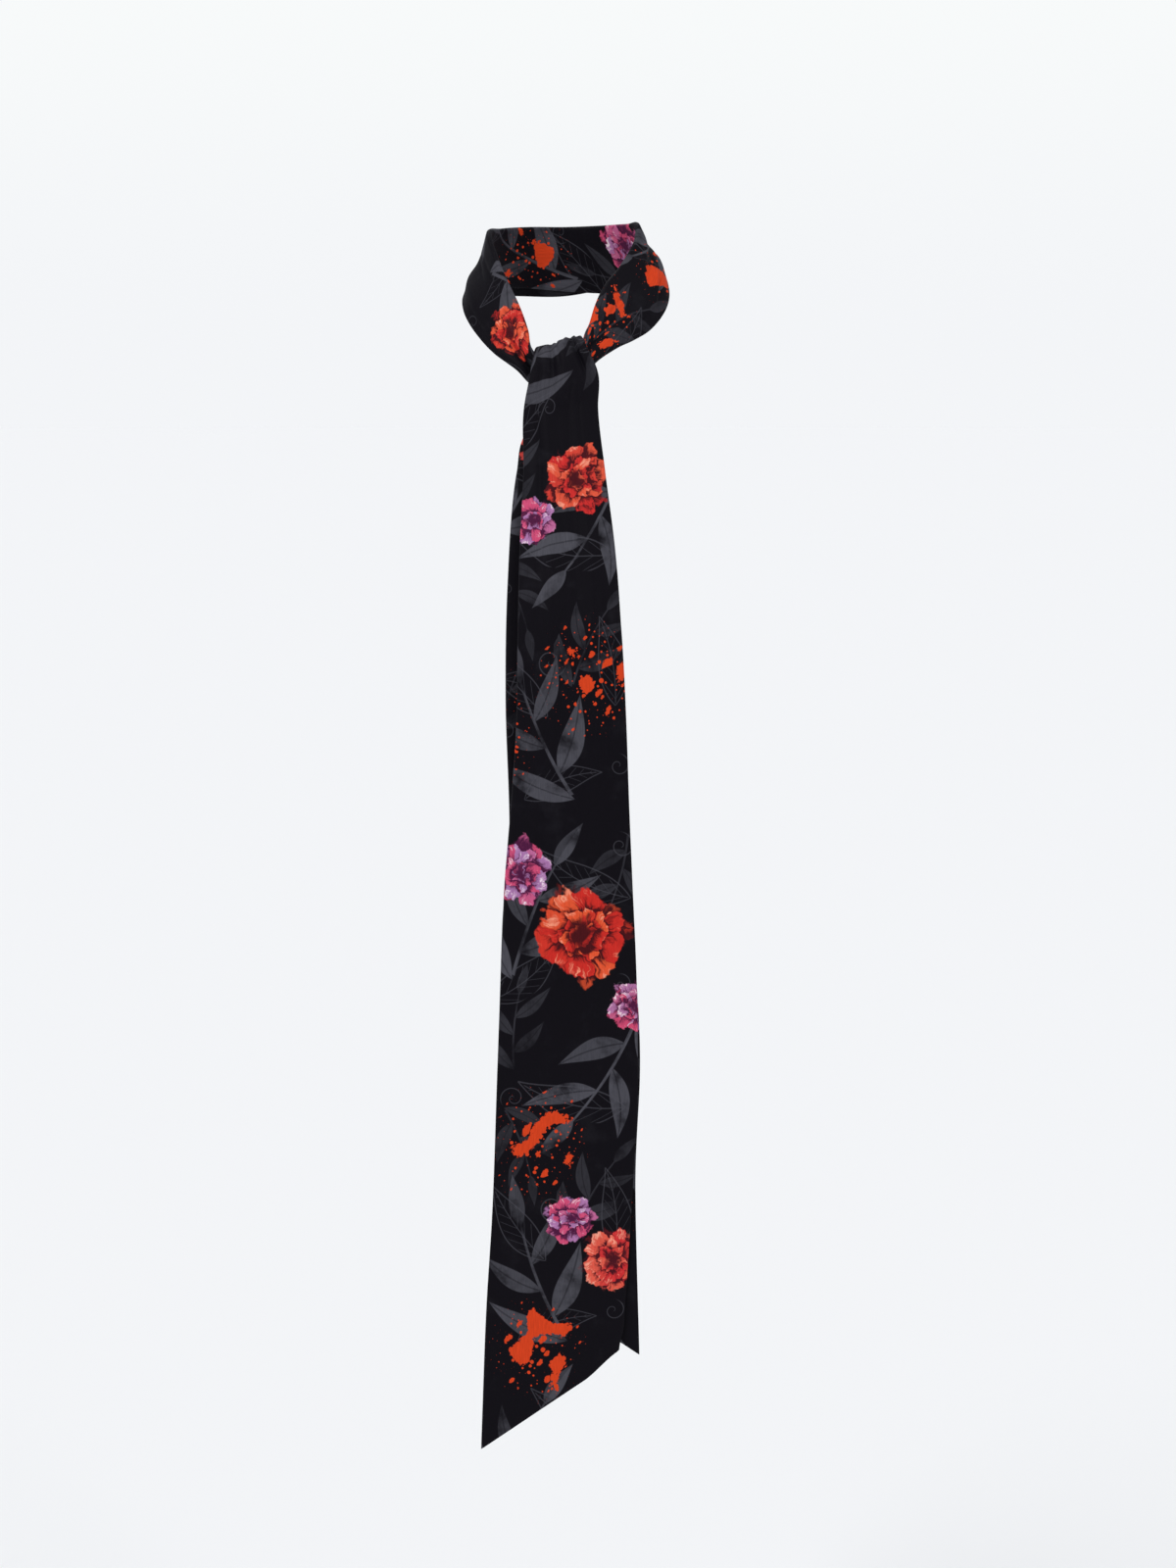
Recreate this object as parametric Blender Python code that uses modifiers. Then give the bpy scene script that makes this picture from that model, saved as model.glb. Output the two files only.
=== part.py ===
"""A long narrow stole as it is worn: folded in half round the neck, tied once over itself, both ends hanging.

Blender 4.5, metres, +Z up. The wearer faces -Y, and the origin lies on the inner face of the cloth behind
the neck. The stole is one strip of cloth, followed from the end of the fall behind, up to the knot, round
the neck from the viewer's left to right, round the knot, over its top and down to the end of the front fall.
"""

import math

import bpy
import numpy as np

MM = 0.001

# Driving sizes, in metres.
WALL = 0.0012  # two layers of light cloth with the air between them
SEAM_GAP = 0.0003  # left between one stretch and the next
TURN_GAP = 0.0008  # the same along the middle of the knot's sharp turns, where the walls lean together
FOLD_SHARE = 0.85  # of a turned-back ply, the most that its roll may use
SHORT_WAY = 0.0005  # either side of a section, to find the way that the strip runs

# The strip's path. Each row is one section, in millimetres: edge A and edge B of the ply that faces out,
# then how far the cloth is turned back behind it at A and at B, the radius of each turn, how far the ply
# bows out in the middle, and how many steps are made to the next row. A is the upper edge round the neck.
COLUMNS = ("ax", "ay", "az", "bx", "by", "bz", "turn_a", "turn_b", "roll_a", "roll_b", "bow", "steps")
EDGE_A = ("ax", "ay", "az")
EDGE_B = ("bx", "by", "bz")
SHAPE = ("turn_a", "turn_b", "roll_a", "roll_b", "bow")

BACK_FALL = (
    (65, -220.5, -937.6, -54, -220.5, -857, 2, 2, 9, 9, 0, 2),
    (61.3, -220.5, -790, -56, -220.5, -790, 2, 2, 9, 9, 0, 2),
    (65, -219, -675, -52, -219, -675, 2, 3, 9, 6, 1, 2),
    (60, -216, -590, -48, -216, -590, 7, 6, 4, 4, 0, 2),
    (50, -213, -480, -45, -213, -480, 14, 12, 2.2, 2.2, 0, 2),
    (46, -209, -370, -48, -209, -370, 15, 12, 2, 2, 0, 3),
    (39, -194, -277, -46.5, -194, -277, 18, 16, 1.8, 1.8, 0, 3),
    (29, -167, -179, -38.8, -167, -179, 21, 20, 1.6, 1.6, 0, 3),
    (22, -148.5, -150, -33, -148.5, -150, 19, 19, 1.5, 1.5, 0, 2),
    (18, -142.5, -136, -23.5, -142.5, -136, 15, 15, 1.4, 1.4, 0, 2),
)
NECK_LEFT = (
    (14, -141.5, -118, -22, -141.5, -121, 13, 13, 1.4, 1.4, 0, 2),
    (2, -141.5, -101, -22.5, -141.5, -111, 13, 8, 1.4, 1.4, 0, 2),
    (-14, -141.5, -90, -29.5, -143, -104.5, 14, 4, 1.5, 3, 0, 2),
    (-27, -140.5, -76.5, -38.5, -142, -95, 20, 2, 1.7, 6, 1, 3),
    (-32, -132, -59, -58.5, -125, -80.5, 32, 2, 2, 8, 2, 2),
    (-40.2, -120, -38, -75.5, -102, -62.5, 48, 2, 2, 8, 3, 2),
    (-50.6, -106, -17, -85.5, -82, -46, 54, 2, 2, 8, 1, 3),
    (-59.4, -90, 3, -88, -60, -33, 56, 2, 2, 8, -1, 2),
    (-66.2, -66, 24, -84, -40, -27, 57, 2, 2, 8, -1, 2),
)
NECK_BACK = (
    (-56, -32, 29, -68, -10, -28, 58, 2, 2, 8, -1, 3),
    (-32, -8, 31, -38, 6, -29, 58, 2, 2, 8, -0.7, 2),
    (0, 1.5, 31, 0, 9, -29, 60, 2, 2, 8, -0.6, 2),
    (32, -8, 32, 38, 4, -22, 64, 2, 2, 8, -0.8, 3),
)
NECK_RIGHT = (
    (56, -32, 33, 69, -18, -13, 67, 2, 2, 8, -1, 2),
    (66, -62, 32, 88, -50, -13, 66, 2, 2, 8, 0, 3),
    (64.1, -78, 17.5, 91.5, -70, -28, 63, 2, 2, 8, 1, 3),
    (51.1, -94, -4, 87.5, -88, -44, 58, 2, 2, 8, 3, 3),
    (37.5, -110, -21, 74.5, -104, -60, 50, 2, 2, 8, 4, 2),
    (29, -122, -38, 60, -120, -69, 38, 2, 2, 8, 3, 2),
    (23.2, -131, -55, 45, -133, -76, 26, 2, 2, 6, 2, 2),
    (19.8, -136.5, -62, 31.5, -143, -84.5, 18, 4, 1.7, 3, 1, 2),
)
KNOT_WRAP = (
    (17, -142.5, -69.5, 25, -148, -92, 14, 6, 1.5, 1.5, 0, 2),
    (3, -149, -83, 12, -150, -106, 10, 8, 1.4, 1.4, 0, 2),
    (-13, -149.5, -96, -5, -150, -119, 9, 9, 1.4, 1.4, 0, 2),
    (-22.5, -149, -107.5, -20, -149, -130, 9, 9, 1.4, 1.4, 0, 3),
    (-28.7, -141, -111.5, -28.4, -141, -135, 9, 9, 1.4, 1.4, 0, 3),
    (-22.5, -132.6, -111, -23, -132.8, -135, 9, 9, 1.4, 1.4, 0, 2),
    (-12, -132, -106, -14, -132, -131, 9, 9, 1.4, 1.4, 0, 2),
    (-8, -132, -103, 5, -132, -125, 9, 10, 1.4, 1.4, 0, 2),
    (-12.5, -132, -95, 16, -132, -107, 11, 11, 1.4, 1.4, 0, 2),
)
KNOT_TURN = (
    (-20.5, -132, -86, 18.5, -132, -89, 13, 12, 1.4, 1.4, 0, 3),
    (-23, -136.5, -78, 15.5, -136.5, -70, 15, 9, 1.5, 1.5, 0, 3),
    (-23.5, -146.5, -75.5, 15.2, -146.5, -64.5, 17, 8, 1.6, 1.5, 0, 3),
    (-25, -155.5, -81.5, 21.5, -155, -77, 20, 10, 1.7, 1.6, 1, 3),
    (-27.4, -160.5, -97, 29.2, -160.5, -95, 22, 16, 1.7, 1.7, 2, 3),
)
FRONT_FALL = (
    (-32.8, -167, -127, 29.6, -167, -127, 23, 17, 1.8, 1.8, 2, 2),
    (-33, -180, -179, 35.5, -180, -179, 24, 14, 1.8, 1.8, 3, 3),
    (-36, -199, -245, 44, -199, -245, 23, 9, 2, 2, 3, 3),
    (-37.5, -214, -312, 49, -214, -312, 22, 5, 2, 3, 3, 3),
    (-39, -222, -395, 53, -222, -395, 20, 3, 2, 6, 2, 2),
    (-43.5, -224.5, -460, 55.4, -224.5, -460, 17, 2, 2.4, 9, 2, 3),
    (-48.8, -225, -525, 58.2, -225, -525, 9, 2, 3.2, 9, 1, 3),
    (-52.2, -225, -612, 62, -225, -612, 3, 2, 6, 9, 1, 2),
    (-55.6, -225.5, -700, 63, -225.5, -700, 2, 2, 9, 9, 0, 3),
    (-60, -225.5, -814, 57.5, -225.5, -814, 2, 2, 9, 9, 0, 2),
    (-65.5, -226, -902, 52.5, -226, -892, 2, 3, 9, 5, 0, 3),
    (-70.3, -226, -1020, 50, -225.5, -938, 2, 5, 9, 5, 0, 1),
)

# The stretches in the order of the strip: name, rows, and the steps across its turned-back ply at A, the
# roll at A, the ply that faces out, the roll at B and the turned-back ply at B.
STRETCHES = (
    ("back_fall", BACK_FALL, (2, 3, 6, 3, 2)),
    ("neck_left", NECK_LEFT, (4, 3, 8, 1, 1)),
    ("neck_back", NECK_BACK, (4, 3, 7, 1, 1)),
    ("neck_right", NECK_RIGHT, (4, 3, 8, 1, 1)),
    ("knot_wrap", KNOT_WRAP, (1, 3, 5, 3, 1)),
    ("knot_turn", KNOT_TURN, (1, 3, 12, 3, 1)),
    ("front_fall", FRONT_FALL, (2, 3, 7, 3, 2)),
)

# Folds that stand out of the cloth, or sink in below 0. A place along the strip is the number of its
# stretch plus the share of that stretch, so 1.5 is half way along neck_left. Across, 0 is A and 1 is B.
# start, highest and end along; across at the start and at the end; width across; height in millimetres.
FOLDS = (
    (0.98, 1.20, 1.47, 0.46, 0.60, 0.16, -5.0),  # the valley that runs into the knot
    (0.95, 1.13, 1.40, 0.85, 0.82, 0.14, 2.5),  # its outer lobe
    (1.45, 1.75, 2.25, 0.74, 0.76, 0.18, 4.0),  # the roll of the lower edge over the shoulder
    (2.75, 3.10, 3.60, 0.70, 0.74, 0.20, 3.5),
    (3.05, 3.30, 3.55, 0.36, 0.48, 0.10, -2.2),  # a crease below the top edge on the right
    (3.55, 3.90, 4.10, 0.52, 0.50, 0.14, -3.0),
    (5.10, 5.55, 6.05, 0.34, 0.33, 0.06, -3.5),  # between the left and middle lobes over the knot
    (5.10, 5.55, 6.10, 0.55, 0.52, 0.11, 2.0),  # the middle lobe
    (5.15, 5.50, 5.85, 0.76, 0.84, 0.05, -4.0),  # between the middle and the small right lobe
    (5.90, 6.08, 6.50, 0.30, 0.34, 0.07, 2.5),  # gathers that open down the front fall
    (5.95, 6.12, 6.42, 0.55, 0.60, 0.06, -2.0),
    (5.95, 6.16, 6.55, 0.74, 0.78, 0.07, 2.2),
    (0.45, 0.80, 0.95, 0.36, 0.30, 0.07, 2.0),  # gathers of the fall behind
    (0.50, 0.84, 0.96, 0.68, 0.62, 0.07, 2.0),
)

GROUND = (0.012, 0.011, 0.015, 1)  # near-black
ROUGHNESS = 0.62


def pick(table, names):
    """The table's columns of these names."""
    return table[:, [COLUMNS.index(name) for name in names]]


def smooth_columns(keys, values, at):
    """The table's columns at the distances `at`, on smooth curves through every row."""
    slopes = np.gradient(values, keys, axis=0)
    row = np.clip(np.searchsorted(keys, at, side="right") - 1, 0, len(keys) - 2)
    length = (keys[row + 1] - keys[row])[:, None]
    t = ((at - keys[row])[:, None]) / length
    return (
        (2 * t**3 - 3 * t**2 + 1) * values[row]
        + (t**3 - 2 * t**2 + t) * length * slopes[row]
        + (3 * t**2 - 2 * t**3) * values[row + 1]
        + (t**3 - t**2) * length * slopes[row + 1]
    )


def smooth_step(value):
    value = np.clip(value, 0, 1)
    return value * value * (3 - 2 * value)


def unit(vectors):
    return vectors / np.linalg.norm(vectors, axis=1)[:, None]


class Strip:
    """The whole strip of cloth, from its table of sections."""

    def __init__(self):
        table = np.array([row for _, rows, _ in STRETCHES for row in rows], float)
        self.steps = pick(table, ["steps"])[:, 0].astype(int)
        self.values = table * MM
        middle = (pick(self.values, EDGE_A) + pick(self.values, EDGE_B)) / 2
        walked = np.linalg.norm(np.diff(middle, axis=0), axis=1)
        self.keys = np.concatenate([[0], np.cumsum(walked)])
        first_rows = np.cumsum([0] + [len(rows) for _, rows, _ in STRETCHES])
        first_rows[-1] -= 1
        self.first_rows = first_rows
        self.marks = self.keys[first_rows]

    def sections(self, distance):
        """Edge A, the unit vectors across and out, the span and the shape columns at each distance."""
        columns = smooth_columns(self.keys, self.values, distance)
        edge_a, edge_b = pick(columns, EDGE_A), pick(columns, EDGE_B)
        before = smooth_columns(self.keys, self.values, np.maximum(distance - SHORT_WAY, 0))
        after = smooth_columns(self.keys, self.values, np.minimum(distance + SHORT_WAY, self.keys[-1]))
        forward = pick(after - before, EDGE_A) + pick(after - before, EDGE_B)
        across = unit(edge_b - edge_a)
        out = unit(np.cross(forward, across))
        span = np.linalg.norm(edge_b - edge_a, axis=1)
        return edge_a, across, out, span, pick(columns, SHAPE)

    def fold_height(self, distance, share, bow):
        """How far the outward ply stands off the line between its edges."""
        height = bow * 4 * share * (1 - share)
        place = np.interp(distance, self.marks, np.arange(len(self.marks)))
        for start, top, end, share_start, share_end, width, most in FOLDS:
            rise = smooth_step((place - start) / (top - start)) * (1 - smooth_step((place - top) / (end - top)))
            centre = share_start + (share_end - share_start) * np.clip((place - start) / (end - start), 0, 1)
            height = height + most * MM * rise * np.exp(-(((share - centre) / width) ** 2))
        return height

    def points(self, distance, zone, part):
        """Points on the middle of the wall. zone is 0 to 4 from the ply turned back at A to that at B."""
        edge_a, across, out, span, columns = self.sections(distance)
        turn_a, turn_b, roll_a, roll_b, bow = columns.T
        angle_a = np.minimum(math.pi, FOLD_SHARE * turn_a / roll_a)
        angle_b = np.minimum(math.pi, FOLD_SHARE * turn_b / roll_b)
        reach_a = roll_a * np.sin(np.minimum(angle_a, math.pi / 2))
        reach_b = roll_b * np.sin(np.minimum(angle_b, math.pi / 2))
        flat_a = (1 - part) * (turn_a - roll_a * angle_a)
        flat_b = part * (turn_b - roll_b * angle_b)
        at_a = np.where(zone == 0, angle_a, (1 - part) * angle_a)
        at_b = np.where(zone == 4, angle_b, part * angle_b)
        from_a = reach_a - roll_a * np.sin(at_a) - np.where(zone == 0, np.cos(at_a) * flat_a, 0)
        sunk_a = roll_a * (1 - np.cos(at_a)) + np.where(zone == 0, np.sin(at_a) * flat_a, 0)
        from_b = reach_b - roll_b * np.sin(at_b) - np.where(zone == 4, np.cos(at_b) * flat_b, 0)
        sunk_b = roll_b * (1 - np.cos(at_b)) + np.where(zone == 4, np.sin(at_b) * flat_b, 0)
        faced = reach_a + part * (span - reach_a - reach_b)
        place = np.select([zone <= 1, zone == 2], [from_a, faced], span - from_b)
        sunk = np.select([zone <= 1, zone == 2], [sunk_a, np.zeros_like(faced)], sunk_b)
        height = self.fold_height(distance, place / span, bow) - sunk
        return edge_a + across * place[:, None] + out * height[:, None]


def distances_along(strip, number):
    """The places of a stretch's sections, a seam gap short of its neighbours."""
    first, last = strip.first_rows[number], strip.first_rows[number + 1]
    names = [name for name, _, _ in STRETCHES]
    gap_before = TURN_GAP if names[number] in ("knot_wrap", "knot_turn") else SEAM_GAP
    gap_after = TURN_GAP if names[number] in ("neck_right", "knot_wrap") else SEAM_GAP
    places = [strip.keys[first]]
    for row in range(first, last):
        places.extend(np.linspace(strip.keys[row], strip.keys[row + 1], strip.steps[row] + 1)[1:])
    if number > 0:
        places[0] += gap_before / 2
    if number < len(STRETCHES) - 1:
        places[-1] -= gap_after / 2
    return np.array(places)


def lines_across(steps):
    """(zone, part) of each line that runs along the stretch, for the steps in its five zones."""
    lines = [(0, 0.0)]
    for zone, count in enumerate(steps):
        lines.extend((zone, (step + 1) / count) for step in range(count))
    return np.array(lines)


def cloth_material(name):
    material = bpy.data.materials.new(name)
    material.use_nodes = True
    shader = material.node_tree.nodes["Principled BSDF"]
    shader.inputs["Base Color"].default_value = GROUND
    shader.inputs["Roughness"].default_value = ROUGHNESS
    shader.inputs["Metallic"].default_value = 0
    return material


def add_stretch(strip, number, collection):
    """One stretch as an open surface through its sections, with a Solidify for the wall."""
    name, _, steps = STRETCHES[number]
    along = distances_along(strip, number)
    lines = lines_across(steps)
    distance = np.repeat(along, len(lines))
    zone = np.tile(lines[:, 0], len(along))
    part = np.tile(lines[:, 1], len(along))
    points = strip.points(distance, zone, part)
    faces = []
    for section in range(len(along) - 1):
        for line in range(len(lines) - 1):
            corner = section * len(lines) + line
            faces.append((corner, corner + 1, corner + 1 + len(lines), corner + len(lines)))
    mesh = bpy.data.meshes.new(name)
    mesh.from_pydata([tuple(point) for point in points], [], faces)
    mesh.materials.append(cloth_material(name + "_cloth"))
    mesh.shade_smooth()
    stretch = bpy.data.objects.new(name, mesh)
    collection.objects.link(stretch)
    wall = stretch.modifiers.new("wall", "SOLIDIFY")
    wall.thickness = WALL
    wall.offset = 0
    return stretch


def main():
    for old in list(bpy.data.objects):
        bpy.data.objects.remove(old, do_unlink=True)
    collection = bpy.data.collections.new("stole")
    bpy.context.scene.collection.children.link(collection)
    strip = Strip()
    for number in range(len(STRETCHES)):
        add_stretch(strip, number, collection)


main()
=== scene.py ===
"""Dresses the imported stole: a long strip of printed cloth, folded in half round the neck and tied once.

Metres, +Z up, the wearer faces -Y. The strip is followed from the end of the fall behind, up to the knot,
round the neck from the viewer's left to right, round the knot, over its top and down the front fall. Each
piece is a thin closed shell on the same sections as its solids, with the smaller creases added.
"""

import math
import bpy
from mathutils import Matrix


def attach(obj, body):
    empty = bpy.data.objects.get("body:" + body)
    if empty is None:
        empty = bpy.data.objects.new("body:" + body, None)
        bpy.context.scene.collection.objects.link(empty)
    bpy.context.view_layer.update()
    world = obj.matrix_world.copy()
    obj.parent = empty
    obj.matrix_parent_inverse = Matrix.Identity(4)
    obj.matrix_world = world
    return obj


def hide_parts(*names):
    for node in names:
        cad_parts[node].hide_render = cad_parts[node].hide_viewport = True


bl_info = {
    "name": "Tied printed stole",
    "version": (1, 0, 0),
    "blender": (4, 5, 0),
    "location": "View3D > Sidebar > Stole",
    "description": "Builds the cloth, the print and the studio of a tied stole round its packed solids",
    "category": "Object",
}

import bpy
import numpy as np

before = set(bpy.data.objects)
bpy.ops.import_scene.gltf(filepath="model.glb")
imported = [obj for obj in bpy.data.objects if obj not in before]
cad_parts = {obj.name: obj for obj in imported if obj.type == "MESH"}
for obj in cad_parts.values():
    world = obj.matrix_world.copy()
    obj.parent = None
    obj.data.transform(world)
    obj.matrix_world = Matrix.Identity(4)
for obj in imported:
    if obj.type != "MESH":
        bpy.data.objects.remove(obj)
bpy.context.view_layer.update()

MM = 0.001
WIDTH = 0.120  # of the finished strip
FOLD_SHARE = 0.85  # of a turned-back ply, the most that its roll may use
SHORT_WAY = 0.0005  # either side of a section, to find the way that the strip runs

# The strip's sections, in millimetres, as its solids have them: edge A and edge B of the ply that faces out,
# how far the cloth is turned back behind it at A and at B, the radius of each turn, and how far the ply bows
# out in the middle. A is the upper edge round the neck and the left edge of the front fall.
COLUMNS = ("ax", "ay", "az", "bx", "by", "bz", "turn_a", "turn_b", "roll_a", "roll_b", "bow")
EDGE_A = ("ax", "ay", "az")
EDGE_B = ("bx", "by", "bz")
SHAPE = ("turn_a", "turn_b", "roll_a", "roll_b", "bow")

BACK_FALL = (
    (65, -220.5, -937.6, -54, -220.5, -857, 2, 2, 9, 9, 0),
    (61.3, -220.5, -790, -56, -220.5, -790, 2, 2, 9, 9, 0),
    (65, -219, -675, -52, -219, -675, 2, 3, 9, 6, 1),
    (60, -216, -590, -48, -216, -590, 7, 6, 4, 4, 0),
    (50, -213, -480, -45, -213, -480, 14, 12, 2.2, 2.2, 0),
    (46, -209, -370, -48, -209, -370, 15, 12, 2, 2, 0),
    (39, -194, -277, -46.5, -194, -277, 18, 16, 1.8, 1.8, 0),
    (29, -167, -179, -38.8, -167, -179, 21, 20, 1.6, 1.6, 0),
    (22, -148.5, -150, -33, -148.5, -150, 19, 19, 1.5, 1.5, 0),
    (18, -142.5, -136, -23.5, -142.5, -136, 15, 15, 1.4, 1.4, 0),
)
NECK_LEFT = (
    (14, -141.5, -118, -22, -141.5, -121, 13, 13, 1.4, 1.4, 0),
    (2, -141.5, -101, -22.5, -141.5, -111, 13, 8, 1.4, 1.4, 0),
    (-14, -141.5, -90, -29.5, -143, -104.5, 14, 4, 1.5, 3, 0),
    (-27, -140.5, -76.5, -38.5, -142, -95, 20, 2, 1.7, 6, 1),
    (-32, -132, -59, -58.5, -125, -80.5, 32, 2, 2, 8, 2),
    (-40.2, -120, -38, -75.5, -102, -62.5, 48, 2, 2, 8, 3),
    (-50.6, -106, -17, -85.5, -82, -46, 54, 2, 2, 8, 1),
    (-59.4, -90, 3, -88, -60, -33, 56, 2, 2, 8, -1),
    (-66.2, -66, 24, -84, -40, -27, 57, 2, 2, 8, -1),
)
NECK_BACK = (
    (-56, -32, 29, -68, -10, -28, 58, 2, 2, 8, -1),
    (-32, -8, 31, -38, 6, -29, 58, 2, 2, 8, -0.7),
    (0, 1.5, 31, 0, 9, -29, 60, 2, 2, 8, -0.6),
    (32, -8, 32, 38, 4, -22, 64, 2, 2, 8, -0.8),
)
NECK_RIGHT = (
    (56, -32, 33, 69, -18, -13, 67, 2, 2, 8, -1),
    (66, -62, 32, 88, -50, -13, 66, 2, 2, 8, 0),
    (64.1, -78, 17.5, 91.5, -70, -28, 63, 2, 2, 8, 1),
    (51.1, -94, -4, 87.5, -88, -44, 58, 2, 2, 8, 3),
    (37.5, -110, -21, 74.5, -104, -60, 50, 2, 2, 8, 4),
    (29, -122, -38, 60, -120, -69, 38, 2, 2, 8, 3),
    (23.2, -131, -55, 45, -133, -76, 26, 2, 2, 6, 2),
    (19.8, -136.5, -62, 31.5, -143, -84.5, 18, 4, 1.7, 3, 1),
)
KNOT_WRAP = (
    (17, -142.5, -69.5, 25, -148, -92, 14, 6, 1.5, 1.5, 0),
    (3, -149, -83, 12, -150, -106, 10, 8, 1.4, 1.4, 0),
    (-13, -149.5, -96, -5, -150, -119, 9, 9, 1.4, 1.4, 0),
    (-22.5, -149, -107.5, -20, -149, -130, 9, 9, 1.4, 1.4, 0),
    (-28.7, -141, -111.5, -28.4, -141, -135, 9, 9, 1.4, 1.4, 0),
    (-22.5, -132.6, -111, -23, -132.8, -135, 9, 9, 1.4, 1.4, 0),
    (-12, -132, -106, -14, -132, -131, 9, 9, 1.4, 1.4, 0),
    (-8, -132, -103, 5, -132, -125, 9, 10, 1.4, 1.4, 0),
    (-12.5, -132, -95, 16, -132, -107, 11, 11, 1.4, 1.4, 0),
)
KNOT_TURN = (
    (-20.5, -132, -86, 18.5, -132, -89, 13, 12, 1.4, 1.4, 0),
    (-23, -136.5, -78, 15.5, -136.5, -70, 15, 9, 1.5, 1.5, 0),
    (-23.5, -146.5, -75.5, 15.2, -146.5, -64.5, 17, 8, 1.6, 1.5, 0),
    (-25, -155.5, -81.5, 21.5, -155, -77, 20, 10, 1.7, 1.6, 1),
    (-27.4, -160.5, -97, 29.2, -160.5, -95, 22, 16, 1.7, 1.7, 2),
)
FRONT_FALL = (
    (-32.8, -167, -127, 29.6, -167, -127, 23, 17, 1.8, 1.8, 2),
    (-33, -180, -179, 35.5, -180, -179, 24, 14, 1.8, 1.8, 3),
    (-36, -199, -245, 44, -199, -245, 23, 9, 2, 2, 3),
    (-37.5, -214, -312, 49, -214, -312, 22, 5, 2, 3, 3),
    (-39, -222, -395, 53, -222, -395, 20, 3, 2, 6, 2),
    (-43.5, -224.5, -460, 55.4, -224.5, -460, 17, 2, 2.4, 9, 2),
    (-48.8, -225, -525, 58.2, -225, -525, 9, 2, 3.2, 9, 1),
    (-52.2, -225, -612, 62, -225, -612, 3, 2, 6, 9, 1),
    (-55.6, -225.5, -700, 63, -225.5, -700, 2, 2, 9, 9, 0),
    (-60, -225.5, -814, 57.5, -225.5, -814, 2, 2, 9, 9, 0),
    (-65.5, -226, -902, 52.5, -226, -892, 2, 3, 9, 5, 0),
    (-70.3, -226, -1020, 50, -225.5, -938, 2, 5, 9, 5, 0),
)
STRETCHES = (BACK_FALL, NECK_LEFT, NECK_BACK, NECK_RIGHT, KNOT_WRAP, KNOT_TURN, FRONT_FALL)

# Folds that stand out of the cloth, or sink in below 0. A place along the strip is the number of its
# stretch plus the share of that stretch, so 1.5 is half way along the left side of the neck. Across, 0 is
# edge A and 1 is edge B: start, highest and end along; across at the start and at the end; width across;
# height in millimetres.
FOLDS = (
    (0.98, 1.20, 1.47, 0.46, 0.60, 0.16, -5.0),  # the valley that runs into the knot
    (0.95, 1.13, 1.40, 0.85, 0.82, 0.14, 2.5),  # its outer lobe
    (1.45, 1.75, 2.25, 0.74, 0.76, 0.18, 4.0),  # the roll of the lower edge over the shoulder
    (2.75, 3.10, 3.60, 0.70, 0.74, 0.20, 3.5),
    (3.05, 3.30, 3.55, 0.36, 0.48, 0.10, -2.2),  # a crease below the top edge on the right
    (3.55, 3.90, 4.10, 0.52, 0.50, 0.14, -3.0),
    (5.10, 5.55, 6.05, 0.34, 0.33, 0.06, -3.5),  # between the left and middle lobes over the knot
    (5.10, 5.55, 6.10, 0.55, 0.52, 0.11, 2.0),  # the middle lobe
    (5.15, 5.50, 5.85, 0.76, 0.84, 0.05, -4.0),  # between the middle and the small right lobe
    (5.90, 6.08, 6.50, 0.30, 0.34, 0.07, 2.5),  # gathers that open down the front fall
    (5.95, 6.12, 6.42, 0.55, 0.60, 0.06, -2.0),
    (5.95, 6.16, 6.55, 0.74, 0.78, 0.07, 2.2),
    (0.45, 0.80, 0.95, 0.36, 0.30, 0.07, 2.0),  # gathers of the fall behind
    (0.50, 0.84, 0.96, 0.68, 0.62, 0.07, 2.0),
)

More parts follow.
